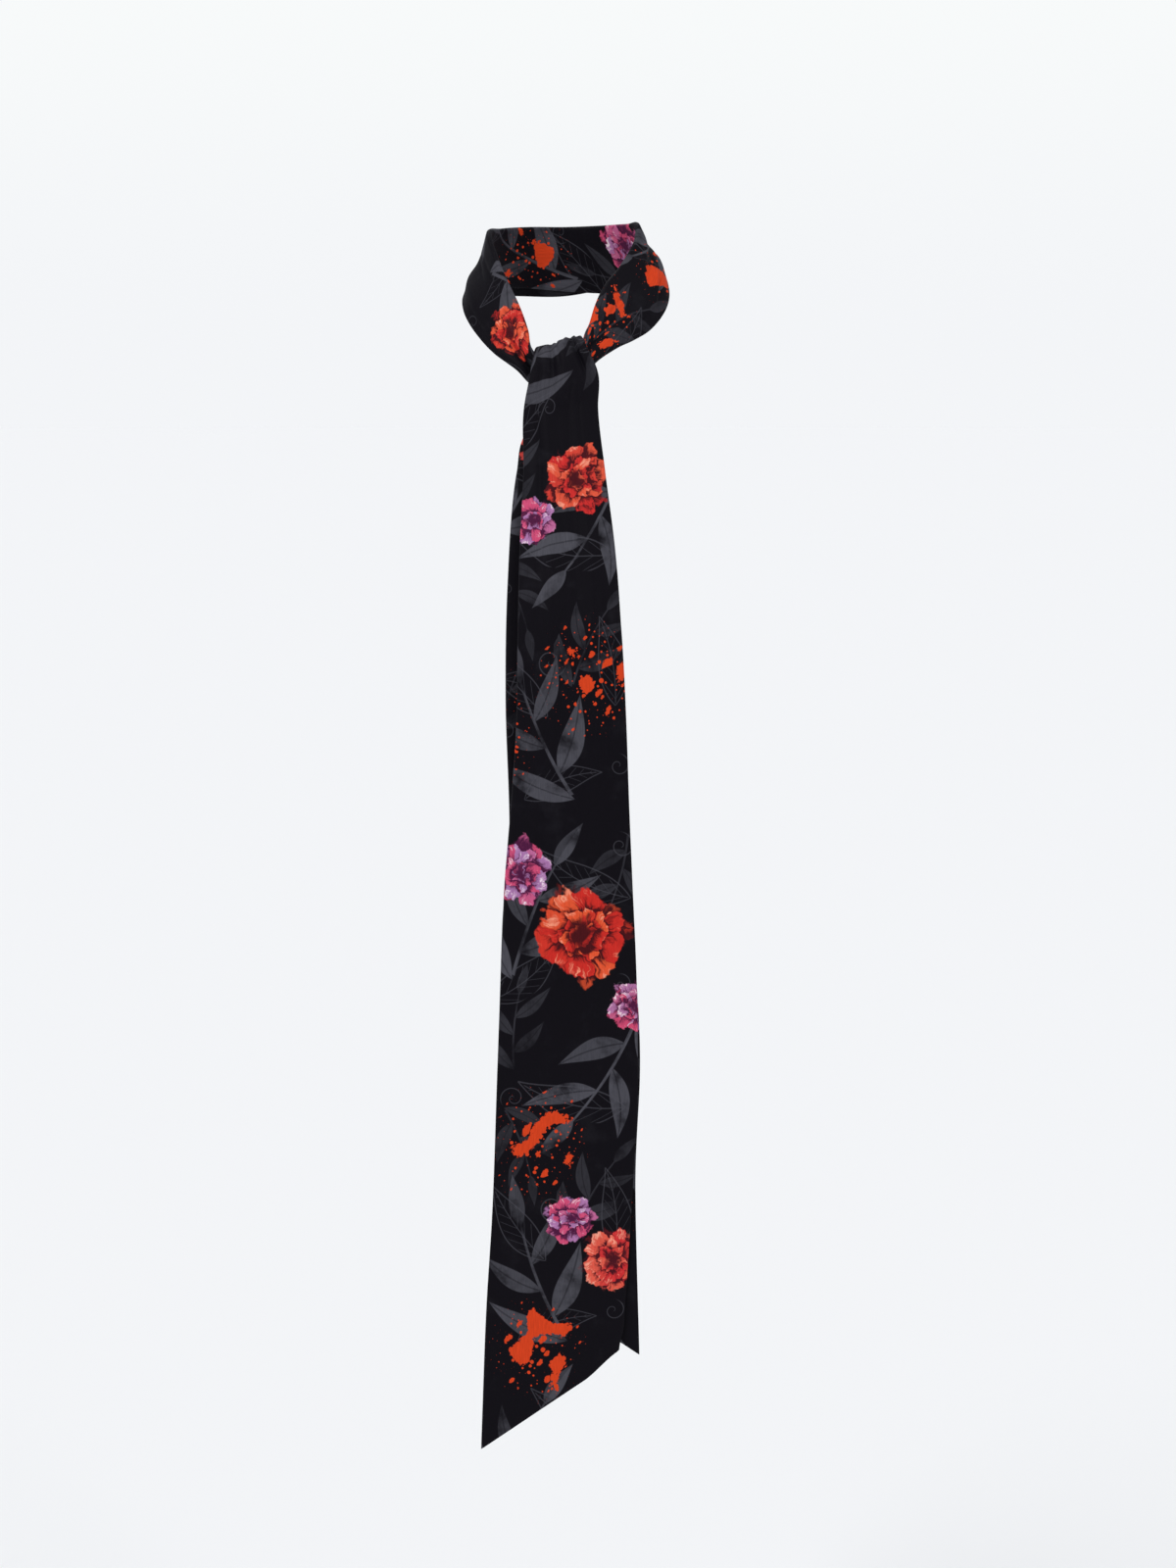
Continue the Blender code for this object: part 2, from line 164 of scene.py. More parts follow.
# The smaller creases, which only the cloth has, in the same columns.
CREASES = (
    (1.52, 1.66, 1.86, 0.20, 0.30, 0.035, -0.9),  # left of the neck
    (1.60, 1.74, 1.92, 0.44, 0.34, 0.030, -0.7),
    (1.12, 1.36, 1.62, 0.22, 0.30, 0.045, -1.0),
    (1.08, 1.30, 1.55, 0.68, 0.74, 0.040, 0.9),
    (1.30, 1.46, 1.70, 0.90, 0.80, 0.040, -0.8),
    (3.10, 3.26, 3.44, 0.62, 0.54, 0.030, -0.9),  # right of the neck
    (3.18, 3.34, 3.52, 0.22, 0.34, 0.035, 0.8),
    (3.42, 3.66, 3.98, 0.30, 0.36, 0.045, -1.2),
    (3.50, 3.76, 4.02, 0.66, 0.62, 0.040, 1.1),
    (3.46, 3.64, 3.92, 0.84, 0.76, 0.035, -0.8),
    (2.15, 2.50, 2.90, 0.34, 0.40, 0.060, -0.7),  # behind the neck
    (2.30, 2.62, 2.95, 0.70, 0.62, 0.050, 0.6),
    (5.30, 5.70, 6.12, 0.13, 0.17, 0.032, -1.5),  # over the knot
    (5.08, 5.34, 5.72, 0.46, 0.44, 0.030, -1.6),
    (5.50, 5.84, 6.28, 0.63, 0.60, 0.028, -1.4),
    (5.10, 5.36, 5.70, 0.66, 0.70, 0.040, 1.4),
    (5.80, 6.02, 6.24, 0.18, 0.21, 0.026, -1.3),  # down the front fall
    (5.92, 6.12, 6.54, 0.45, 0.50, 0.040, -1.2),
    (5.86, 6.02, 6.20, 0.74, 0.77, 0.022, -1.0),
    (5.96, 6.14, 6.44, 0.87, 0.88, 0.034, 1.1),
    (6.20, 6.42, 6.74, 0.24, 0.18, 0.050, 1.1),
    (6.28, 6.48, 6.80, 0.62, 0.66, 0.060, -0.9),
    (6.55, 6.74, 6.97, 0.38, 0.32, 0.070, 0.8),
    (6.60, 6.82, 6.99, 0.80, 0.86, 0.055, -0.8),
    (0.02, 0.22, 0.48, 0.30, 0.36, 0.070, 0.8),  # down the fall behind
    (0.10, 0.32, 0.60, 0.72, 0.64, 0.060, -0.9),
    (0.55, 0.82, 0.97, 0.50, 0.48, 0.035, -1.4),
    (0.62, 0.86, 0.98, 0.20, 0.24, 0.030, -1.2),
    (0.60, 0.84, 0.97, 0.80, 0.77, 0.030, -1.2),
    (3.98, 4.22, 4.52, 0.35, 0.46, 0.070, -1.2),  # round the knot
    (4.05, 4.36, 4.70, 0.72, 0.62, 0.060, -1.0),
    (4.40, 4.66, 4.92, 0.28, 0.34, 0.060, -1.3),
    (4.48, 4.78, 5.06, 0.60, 0.52, 0.055, -1.4),
    (4.56, 4.84, 5.02, 0.82, 0.74, 0.050, 1.0),
    (0.90, 1.04, 1.22, 0.20, 0.24, 0.090, 2.8),  # gathers hidden in the knot
    (0.92, 1.06, 1.20, 0.50, 0.50, 0.080, -2.8),
    (0.90, 1.04, 1.18, 0.80, 0.76, 0.090, 2.6),
)

# Where one ply lies over the next: start, highest and end along, across at the start and at the end, the
# width of the step, and how far the cloth on edge A's side stands above the other, in millimetres.
PLIES = (
    (3.24, 3.42, 3.64, 0.52, 0.96, 0.040, 2.6),  # the near ply over the right shoulder
    (0.96, 1.16, 1.40, 0.36, 0.56, 0.060, 1.6),  # the lip of the valley into the knot
    (5.02, 5.40, 5.90, 0.86, 0.90, 0.030, 2.2),  # the small lobe at the right of the knot
)
PLY_FADE = 0.22  # across, how far from the step the cloth is level again

# The front hem's corner at edge B curls: the share across and the metres along that curl, and how far the
# corner itself moves, in millimetres.
CORNER_WIDE = 0.27
CORNER_LONG = 0.055
CORNER_CURL = (-2.5, -3.5, 5.5)

# Long waves that keep the cloth from lying flat: waves a metre along, lean across, height in millimetres.
RIPPLES = (
    (3.1, 2.0, 0.0, 0.5),
    (5.3, -3.4, 1.7, 0.35),
    (8.9, 4.6, 4.1, 0.22),
    (14.2, -7.5, 2.6, 0.12),
)
GATHER_SHARE = 0.45  # of the cloth lost in gathers, how much the print closes up with it

# The zones across the strip: the turned-back ply and its roll at edge A, the face, and the same at edge B.
TURNED_A, ROLL_A, FACE, ROLL_B, TURNED_B = range(5)


def pick(table, names):
    """The table's columns of these names."""
    return table[:, [COLUMNS.index(name) for name in names]]


def smooth_columns(keys, values, at):
    """The table's columns at the distances `at`, on smooth curves through every row."""
    slopes = np.gradient(values, keys, axis=0)
    row = np.clip(np.searchsorted(keys, at, side="right") - 1, 0, len(keys) - 2)
    length = (keys[row + 1] - keys[row])[:, None]
    t = ((at - keys[row])[:, None]) / length
    return (
        (2 * t**3 - 3 * t**2 + 1) * values[row]
        + (t**3 - 2 * t**2 + t) * length * slopes[row]
        + (3 * t**2 - 2 * t**3) * values[row + 1]
        + (t**3 - t**2) * length * slopes[row + 1]
    )


def smooth_step(value):
    value = np.clip(value, 0, 1)
    return value * value * (3 - 2 * value)


def unit(vectors):
    return vectors / np.maximum(np.linalg.norm(vectors, axis=-1, keepdims=True), 1e-12)


def near_fold(place, share, start, top, end, share_start, share_end):
    """How fully a fold has risen at each place, and how far across from its middle the place lies."""
    rise = smooth_step((place - start) / (top - start)) * (1 - smooth_step((place - top) / (end - top)))
    centre = share_start + (share_end - share_start) * np.clip((place - start) / (end - start), 0, 1)
    return rise, share - centre


def turned_edge(turn, roll, part, is_turned):
    """A rolled and turned-back edge: its reach, and how far in from it and behind it each point lies."""
    angle = np.minimum(math.pi, FOLD_SHARE * turn / roll)
    reach = roll * np.sin(np.minimum(angle, math.pi / 2))
    flat = np.where(is_turned, part * (turn - roll * angle), 0)
    at = np.where(is_turned, angle, part * angle)
    return reach, reach - roll * np.sin(at) - np.cos(at) * flat, roll * (1 - np.cos(at)) + np.sin(at) * flat


class Strip:
    """The whole strip of cloth, from its table of sections."""

    def __init__(self, ripple):
        self.ripple = ripple
        self.values = np.array([row for rows in STRETCHES for row in rows], float) * MM
        middle = (pick(self.values, EDGE_A) + pick(self.values, EDGE_B)) / 2
        walked = np.linalg.norm(np.diff(middle, axis=0), axis=1)
        self.keys = np.concatenate([[0], np.cumsum(walked)])
        first_rows = np.cumsum([0] + [len(rows) for rows in STRETCHES])
        first_rows[-1] -= 1
        self.marks = self.keys[first_rows]

    def sections(self, distance):
        """Edge A, the unit vectors along, across and out, the span and the shape columns at each distance."""
        columns = smooth_columns(self.keys, self.values, distance)
        edge_a, edge_b = pick(columns, EDGE_A), pick(columns, EDGE_B)
        before = smooth_columns(self.keys, self.values, np.maximum(distance - SHORT_WAY, 0))
        after = smooth_columns(self.keys, self.values, np.minimum(distance + SHORT_WAY, self.keys[-1]))
        forward = unit(pick(after - before, EDGE_A) + pick(after - before, EDGE_B))
        across = unit(edge_b - edge_a)
        out = unit(np.cross(forward, across))
        span = np.linalg.norm(edge_b - edge_a, axis=1)
        return edge_a, forward, across, out, span, pick(columns, SHAPE)

    def fold_height(self, distance, share, bow):
        """How far the outward ply stands off the line between its edges."""
        height = bow * 4 * share * (1 - share)
        place = np.interp(distance, self.marks, np.arange(len(self.marks)))
        for *course, width, most in FOLDS + CREASES:
            rise, beyond = near_fold(place, share, *course)
            height = height + most * MM * rise * np.exp(-((beyond / width) ** 2))
        for *course, width, most in PLIES:
            rise, beyond = near_fold(place, share, *course)
            step = (0.5 - smooth_step(beyond / width + 0.5)) * np.exp(-((beyond / PLY_FADE) ** 2))
            height = height + most * MM * rise * step
        for waves, lean, phase, most in RIPPLES:
            angle = 2 * math.pi * (waves * distance) + lean * share + phase
            height = height + self.ripple * most * MM * np.sin(angle)
        return height

    def surface(self, along, lines):
        """The middle of the wall, and the place in the print, at each section and line."""
        size = (len(along), len(lines))
        distance = np.repeat(along, len(lines))
        zone = np.tile(lines[:, 0], len(along))
        part = np.tile(lines[:, 1], len(along))
        edge_a, forward, across, out, span, columns = self.sections(distance)
        turn_a, turn_b, roll_a, roll_b, bow = columns.T
        reach_a, from_a, behind_a = turned_edge(turn_a, roll_a, 1 - part, zone == TURNED_A)
        reach_b, from_b, behind_b = turned_edge(turn_b, roll_b, part, zone == TURNED_B)
        faced = reach_a + part * (span - reach_a - reach_b)
        sides = [zone <= ROLL_A, zone == FACE]
        place = np.select(sides, [from_a, faced], span - from_b)
        sunk = np.select(sides, [behind_a, np.zeros_like(faced)], behind_b)
        height = self.fold_height(distance, place / span, bow) - sunk
        corner = smooth_step((place / span - 1) / CORNER_WIDE + 1)
        corner = corner * smooth_step((distance - self.keys[-1]) / CORNER_LONG + 1)
        points = edge_a + across * place[:, None] + out * height[:, None]
        points = points + corner[:, None] * np.array(CORNER_CURL) * MM
        points = points.reshape(*size, 3)

        spread = np.linalg.norm(np.diff(points, axis=1), axis=2)
        girth = np.concatenate([np.zeros((size[0], 1)), np.cumsum(spread, axis=1)], axis=1)
        whole = girth[:, -1:]
        gathered = 1 + GATHER_SHARE * (WIDTH / whole - 1)
        print_v = WIDTH / 2 + (girth - whole / 2) * gathered
        slant = ((place / span - 0.5) * span * np.einsum("ij,ij->i", across, forward)).reshape(size)
        return points, along[:, None] + slant, print_v


REVERSE_SHIFT = 0.17  # along the strip, between the print of the face and that of the reverse
RIM_STEPS = 2  # points round each rim, between the face and the reverse
RIM_ANGLES = [math.pi * (step + 1) / (RIM_STEPS + 1) for step in range(RIM_STEPS)]
CAP_ANGLE = math.radians(75)  # a sharper meeting of faces than this is a plain cut end
SEAM_FADE = 0.4  # of the seam allowance, the width in which its extra thickness ends
MAP_CLOTH = "Cloth"
MAP_BAKE = "OFBake"
MAP_GAP = 0.004  # between the rows of the bake map, in metres of cloth
MAP_SPARE = 1.02  # room in each row of the bake map for the section that ends it

# Each piece of cloth: its nodes, the first of their stretches, the spacing of the sections in each stretch
# in millimetres, the steps across in its five zones, whether it has a hem at its start and at its end, the
# flat size, and the area where the cut isn't a rectangle, how it is held and what it lies on.
PIECES = {
    "back_fall": dict(
        nodes=("back_fall",), first=0, spacing=(3.0,), steps=(8, 8, 44, 8, 8), hems=(True, False),
        flat=(0.120, 0.834), area=0.0949, held="hung", rests_on=["neck_band_cloth"],
    ),
    "neck_band": dict(
        nodes=("neck_left", "neck_back", "neck_right"), first=1, spacing=(1.8, 2.6, 1.8),
        steps=(22, 8, 40, 6, 4), hems=(False, False),
        flat=(0.120, 0.531), area=None, held="draped", rests_on=["knot_wrap_cloth"],
    ),
    "knot_wrap": dict(
        nodes=("knot_wrap",), first=4, spacing=(1.2,), steps=(8, 8, 26, 8, 8), hems=(False, False),
        flat=(0.042, 0.131), area=None, held="gathered", rests_on=["neck_band_cloth"],
    ),
    "front_fall": dict(
        nodes=("knot_turn", "front_fall"), first=5, spacing=(1.2, 2.6), steps=(8, 9, 52, 9, 6),
        hems=(False, True), flat=(0.120, 0.992), area=0.1142, held="hung", rests_on=["knot_wrap_cloth"],
    ),
}


def lines_across(steps):
    """(zone, part) of each line that runs along the cloth, for the steps in its five zones."""
    lines = [(TURNED_A, 0.0)]
    for zone, count in enumerate(steps):
        lines.extend((zone, (step + 1) / count) for step in range(count))
    return np.array(lines)


def places_along(strip, first, spacing):
    """The distances of a piece's sections along the strip."""
    places = [strip.marks[first]]
    for stretch, step in enumerate(spacing, first):
        start, end = strip.marks[stretch], strip.marks[stretch + 1]
        count = round((end - start) / (step * MM))
        places.extend(np.linspace(start, end, count + 1)[1:])
    return np.array(places)


def wall_at(cloth, along, print_v, hems):
    """The wall, a little thicker over the seam allowance inside the long edges and the hems."""
    nearest = np.minimum(print_v, WIDTH - print_v)
    for is_hem, end in zip(hems, (along[0], along[-1])):
        if is_hem:
            nearest = np.minimum(nearest, np.abs(along - end)[:, None])
    past_seam = smooth_step((nearest / cloth.allowance - 1) / SEAM_FADE + 0.5)
    return cloth.wall + cloth.seam_rise * (1 - past_seam)


class Shell:
    """A thin closed shell round a grid of points, with rounded rims and hems, and its print and bake maps."""

    def __init__(self, points, print_u, print_v, wall, hems):
        sections, lines = print_u.shape
        self.lines = lines
        reverse_way = list(reversed(range(lines)))
        line = np.array(list(range(lines)) + [lines - 1] * RIM_STEPS + reverse_way + [0] * RIM_STEPS)
        turn = np.array(
            [0.0] * lines + RIM_ANGLES + [math.pi] * lines + [math.pi + angle for angle in RIM_ANGLES]
        )
        hem_tilts = [angle / 2 for angle in RIM_ANGLES]
        starts = [-tilt for tilt in reversed(hem_tilts)] if hems[0] else []
        ends = hem_tilts if hems[1] else []
        section = np.array([0] * len(starts) + list(range(sections)) + [sections - 1] * len(ends))
        tilt = np.array(starts + [0.0] * sections + ends)[:, None, None]
        ways = unit(np.gradient(points, axis=0))
        sides = unit(np.gradient(points, axis=1))
        outs = unit(np.cross(ways, sides))
        here = np.ix_(section, line)
        lift = outs[here] * np.cos(turn)[None, :, None] + sides[here] * np.sin(turn)[None, :, None]
        reach = lift * np.cos(tilt) + ways[here] * np.sin(tilt)
        self.half = wall[here] / 2
        self.points = points[here] + reach * self.half[:, :, None]
        self.turn = turn
        self.print_u, self.print_v = print_u[here], print_v[here]

    def reverse_of(self, line):
        """The loop column on the reverse that lies behind a line of the face."""
        return 2 * self.lines + RIM_STEPS - 1 - line

    def sides(self):
        """The loop's faces as an array of corners, with the section and the loop column of each corner."""
        sections, count, _ = self.points.shape
        row, column = np.meshgrid(np.arange(sections - 1), np.arange(count), indexing="ij")
        rows = np.stack([row, row + 1, row + 1, row], axis=-1).reshape(-1, 4)
        columns = np.stack([column, column, column + 1, column + 1], axis=-1).reshape(-1, 4)
        return rows, columns

    def caps(self):
        """The faces that close the two ends, as lists of loop columns."""
        last = self.lines - 1
        rim_b = list(range(last, last + RIM_STEPS + 2))
        rim_a = [self.reverse_of(0) + step for step in range(RIM_STEPS + 1)] + [0]
        across = [
            [line, line + 1, self.reverse_of(line + 1), self.reverse_of(line)] for line in range(last)
        ]
        return across + [rim_b, rim_a]

    def maps(self, rows, columns):
        """The print and the bake map of the loop's faces."""
        sections, count, _ = self.points.shape
        wrapped = columns % count
        face = columns[:, :1]
        is_reverse = (face >= self.reverse_of(self.lines - 1)) & (face < self.reverse_of(0))
        u, v = self.print_u[rows, wrapped], self.print_v[rows, wrapped]
        cloth = np.stack(
            [np.where(is_reverse, WIDTH - v, v), -np.where(is_reverse, u + REVERSE_SHIFT, u)], axis=-1
        )
        steps = np.linalg.norm(np.roll(self.points, -1, axis=1) - self.points, axis=2)
        across = np.concatenate([np.zeros((sections, 1)), np.cumsum(steps, axis=1)], axis=1)
        middle = self.points[:, self.lines // 2]
        down = np.concatenate([[0], np.cumsum(np.linalg.norm(np.diff(middle, axis=0), axis=1))])
        band = across[:, -1].max() + MAP_GAP
        bands = max(1, round(math.sqrt(down[-1] / band)))
        in_band = np.minimum((down[rows[:, 0]] / down[-1] * bands).astype(int), bands - 1)[:, None]
        first = np.searchsorted((down / down[-1] * bands).astype(int), in_band)
        scale = 1 / max(bands * band, down[-1] / bands * MAP_SPARE + 2 * MAP_GAP)
        x = (down[rows] - down[first] + MAP_GAP) * scale
        y = (across[rows, columns] + in_band * band + MAP_GAP / 2) * scale
        return cloth, np.stack([x, y], axis=-1), (across, in_band, band, scale, x)

    def cap_maps(self, row, columns, layout, at_end):
        """The same maps for one end's faces, laid beside the end of its band."""
        across, in_band, band, scale, x = layout
        columns = np.array(columns)
        cloth = np.stack([self.print_v[row, columns], -self.print_u[row, columns]], axis=-1)
        line = np.where(columns >= self.lines + RIM_STEPS, self.reverse_of(columns), columns)
        line = np.clip(np.where(columns >= self.reverse_of(0) + 1, 0, line), 0, self.lines - 1)
        deep = self.half[row, columns] * (1 - np.cos(self.turn[columns])) * scale
        wide = self.half[row, columns] * np.sin(self.turn[columns])
        y = (across[row, line] + wide + in_band[-1 if at_end else 0] * band + MAP_GAP / 2) * scale
        edge = MAP_GAP / 4 * scale
        ends = x[-1].max() + edge + deep if at_end else x[0].min() - edge - deep
        return cloth, np.stack([ends, y], axis=-1)

    def build(self, name):
        """The shell's mesh, with both of its maps."""
        sections, count, _ = self.points.shape
        rows, columns = self.sides()
        faces = (rows * count + columns % count).tolist()
        cloth, bake, layout = self.maps(rows, columns)
        cloth, bake = list(cloth.reshape(-1, 2)), list(bake.reshape(-1, 2))
        for row, at_end in ((0, False), (sections - 1, True)):
            for cap in self.caps():
                order = cap[::-1] if at_end else cap
                faces.append([row * count + column for column in order])
                cap_cloth, cap_bake = self.cap_maps(row, order, layout, at_end)
                cloth.extend(cap_cloth)
                bake.extend(cap_bake)
        mesh = bpy.data.meshes.new(name)
        mesh.from_pydata(self.points.reshape(-1, 3), [], faces)
        for map_name, corners in ((MAP_CLOTH, cloth), (MAP_BAKE, bake)):
            layer = mesh.uv_layers.new(name=map_name)
            layer.data.foreach_set("uv", np.array(corners, dtype=np.float32).ravel())
        mesh.shade_smooth()
        mesh.set_sharp_from_angle(angle=CAP_ANGLE)
        mesh.validate()
        return mesh


def add_cloth(name):
    """One piece of the stole, built as a shell of printed cloth in place of its solids."""
    piece = PIECES[name]
    cloth = bpy.context.scene.stole_cloth
    strip = Strip(cloth.ripple)
    along = places_along(strip, piece["first"], piece["spacing"])
    points, print_u, print_v = strip.surface(along, lines_across(piece["steps"]))
    wall = wall_at(cloth, along, print_v, piece["hems"])
    mesh = Shell(points, print_u, print_v, wall, piece["hems"]).build(name)
    mesh.materials.append(printed_cloth(cloth))
    made = bpy.data.objects.new(name + "_cloth", mesh)
    bpy.context.scene.collection.objects.link(made)
    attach(made, "root")
    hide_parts(*piece["nodes"])


# ---------------------------------------------------------------------------------------------------------
# Shader nodes
# ---------------------------------------------------------------------------------------------------------


class Wire:
    """A node's output. Sums with it, or with other wires of its tree, add the nodes that work them out."""

    def __init__(self, socket):
        self.socket, self.tree = socket, socket.id_data
        self.is_vector = socket.type in ("VECTOR", "RGBA")

    def __add__(self, other):
        return calc("ADD", self, other)

    def __sub__(self, other):
        return calc("SUBTRACT", self, other)

    def __rsub__(self, other):
        return calc("SUBTRACT", other, self)

    def __mul__(self, other):
        return calc("MULTIPLY", self, other)

    def __truediv__(self, other):
        return calc("DIVIDE", self, other)

    def __gt__(self, other):
        return calc("GREATER_THAN", self, other)

    def __lt__(self, other):
        return calc("LESS_THAN", self, other)

    def __abs__(self):
        return calc("ABSOLUTE", self)


def connect(value, socket):
    """Links a wire to an input, or fills the input with a constant."""
    if isinstance(value, Wire):
        value.tree.links.new(value.socket, socket)
    else:
        socket.default_value = value


def add_node(tree, kind, inputs=(), **settings):
    """A node's outputs, once its settings are made and its inputs, by name or number, are connected."""
    node = tree.nodes.new(kind)
    for key, value in settings.items():
        setattr(node, key, value)
    for key, value in dict(inputs).items():
        connect(value, node.inputs[key])
    return [Wire(socket) for socket in node.outputs]


def tree_of(values):
    """The tree that the wires among these values are in."""
    return next(value.tree for value in values if isinstance(value, Wire))


def calc(operation, *values, output=0, **settings):
    """A sum of numbers and wires, worked out on vectors where one of them is a vector."""
    on_vectors = any(isinstance(value, Wire) and value.is_vector for value in values)
    kind = "ShaderNodeVectorMath" if on_vectors else "ShaderNodeMath"
    return add_node(tree_of(values), kind, enumerate(values), operation=operation, **settings)[output]


def larger(first, second):
    return calc("MAXIMUM", first, second)


def length_of(vector):
    return calc("LENGTH", vector, output=1)


def scaled(vector, scale):
    inputs = {"Vector": vector, "Scale": scale}
    return add_node(tree_of((vector, scale)), "ShaderNodeVectorMath", inputs, operation="SCALE")[0]


def rotated(vector, angle, **settings):
    inputs = {"Vector": vector, "Angle": angle}
    return add_node(vector.tree, "ShaderNodeVectorRotate", inputs, rotation_type="Z_AXIS", **settings)[0]


def joined(x=0.0, y=0.0, z=0.0):
    """A vector of three numbers."""
    return add_node(tree_of((x, y, z)), "ShaderNodeCombineXYZ", {"X": x, "Y": y, "Z": z})[0]


def parts_of(vector):
    return add_node(vector.tree, "ShaderNodeSeparateXYZ", {"Vector": vector})


def ramp(value, at_0, at_1):
    """0 where the value is at_0, 1 where it is at_1, smoothly between."""
    inputs = {"Value": value, "From Min": at_0, "From Max": at_1}
    return add_node(value.tree, "ShaderNodeMapRange", inputs, interpolation_type="SMOOTHSTEP")[0]


MIX_KINDS = ("FLOAT", "VECTOR", "RGBA")  # in the order of the Mix node's own sockets


def mix(share, first, second, kind="RGBA", **settings):
    """The first where the share is 0, the second where it is 1."""
    place = MIX_KINDS.index(kind)
    inputs = {0: share, 2 + 2 * place: first, 3 + 2 * place: second}
    tree = tree_of((share, first, second))
    return add_node(tree, "ShaderNodeMix", inputs, data_type=kind, **settings)[place]


def noise(place, scale=1.0, detail=2.0, roughness=0.5):
    """Soft noise, as a number and as a colour."""
    inputs = {"Vector": place, "Scale": scale, "Detail": detail, "Roughness": roughness}
    return add_node(place.tree, "ShaderNodeTexNoise", inputs)


def cells(place, randomness=1.0, dimensions="3D"):
    """Cells 1 across: how far each place is from its cell's point, the cell's chance, and that point."""
    inputs = {"Vector": place, "Scale": 1.0, "Randomness": randomness}
    made = add_node(place.tree, "ShaderNodeTexVoronoi", inputs, voronoi_dimensions=dimensions)
    return made[0], parts_of(made[1])[0], made[2]


def socket_name(name):
    return name.replace("_", " ").capitalize()


def new_socket(tree, name, in_out, is_vector):
    kind = "NodeSocketVector" if is_vector else "NodeSocketFloat"
    return tree.interface.new_socket(name, in_out=in_out, socket_type=kind)


def shader_group(name, outputs, **inputs):
    """Makes a function of wires into a node group of its own, built once and placed at each call.

    The inputs, given with their defaults, are the function's arguments. The outputs are what it returns.
    """

    def decorate(build):
        def group():
            if name in bpy.data.node_groups:
                return bpy.data.node_groups[name]
            tree = bpy.data.node_groups.new(name, "ShaderNodeTree")
            for key, default in inputs.items():
                made = new_socket(tree, socket_name(key), "INPUT", isinstance(default, tuple))
                made.default_value = default
            put_out = build(**dict(zip(inputs, add_node(tree, "NodeGroupInput"))))
            for output, wire in zip(outputs, put_out):
                new_socket(tree, output, "OUTPUT", wire.is_vector)
            for wire, socket in zip(put_out, tree.nodes.new("NodeGroupOutput").inputs):
                connect(wire, socket)
            return tree

        def place_group(**values):
            """The outputs of the group, placed in the tree of the values, which fill its inputs."""
            filled = {socket_name(key): value for key, value in values.items()}
            return add_node(tree_of(values.values()), "ShaderNodeGroup", filled, node_tree=group())

        return place_group

    return decorate


NOWHERE = (9.0, 9.0, 0.0)
SOFT_EDGE = (0.0045, -0.0045)  # of a motif's reach, where its soft edge begins and where it is full


def solid(off):
    """1 inside a shape and 0 outside it, from how far outside it a point is."""
    return ramp(off, *SOFT_EDGE)


def between(value, low, high):
    return (value > low) * (value < high)


@shader_group(
    "Stamp", ("Local", "Kind"), place=NOWHERE, centre=NOWHERE, repeat=NOWHERE, turn=0.0, scale=1.0,
    slimness=1.0, kind=0.0, before=NOWHERE, kind_before=0.0,
)
def stamp(place, centre, repeat, turn, scale, slimness, kind, before, kind_before):
    """A motif's own coordinates within its reach, where it is 1 from its middle; elsewhere, those before."""
    half = scaled(repeat, 0.5)
    away = calc("WRAP", place - centre, half, scaled(half, -1.0))
    local = scaled(rotated(away, turn, invert=True), scale)
    inside = length_of(local * joined(1.0, slimness)) < 1.0
    return mix(inside, before, local, "VECTOR"), mix(inside, kind_before, kind, "FLOAT")


@shader_group("Leaf", ("Off", "Rib", "Share"), x=0.0, y=0.0, bend=0.0, length=1.0, width=0.3)
def leaf(x, y, bend, length, width):
    """A leaf along +X: how far a point is outside it and off its midrib, and its share of the length."""
    share = x / length
    rest = 1.0 - share
    arch = share * rest * 4.0
    rib = abs(y - arch * bend)
    # Widest a third of the way from the foot, and drawn out to a point.
    body = arch * (rest * 0.9 + 0.55)
    return larger(rib - body * width * 0.5, x - length), rib, share


# A spray of leaves along a stalk, in shares of its reach.
STALK_ARCH = 0.12
STALK_END = 0.85
STALK_HALF, STALK_TAPER = 0.014, 0.006  # half its width in the middle, and how that falls along it
LEAF_STEP = 0.60  # between the leaves of one side
LEAF_LEAN = math.radians(40)  # of a leaf from the stalk
LEAF_LONG, LEAF_TAPER = 0.60, 0.16  # the least length half way along the stalk, and how that falls
LEAF_VARIES = 0.22  # how much longer a leaf may be
LEAF_SLIM = 0.27  # its width, of its length
LEAF_BEND = 0.05  # how far its midrib bows
LEAF_FIRST, LEAF_LAST = -1.0, 0.35  # the places of the first and last leaves
END_LEAF = dict(length=0.56, width=0.16)  # the leaf that ends the stalk
END_LEAF_FOOT = 0.42
RIB = (0.006, 0.012)  # from its middle, where the midrib of a leaf is darkest and where it ends
RIB_TINT = 0.55  # of the leaf's own, along its midrib


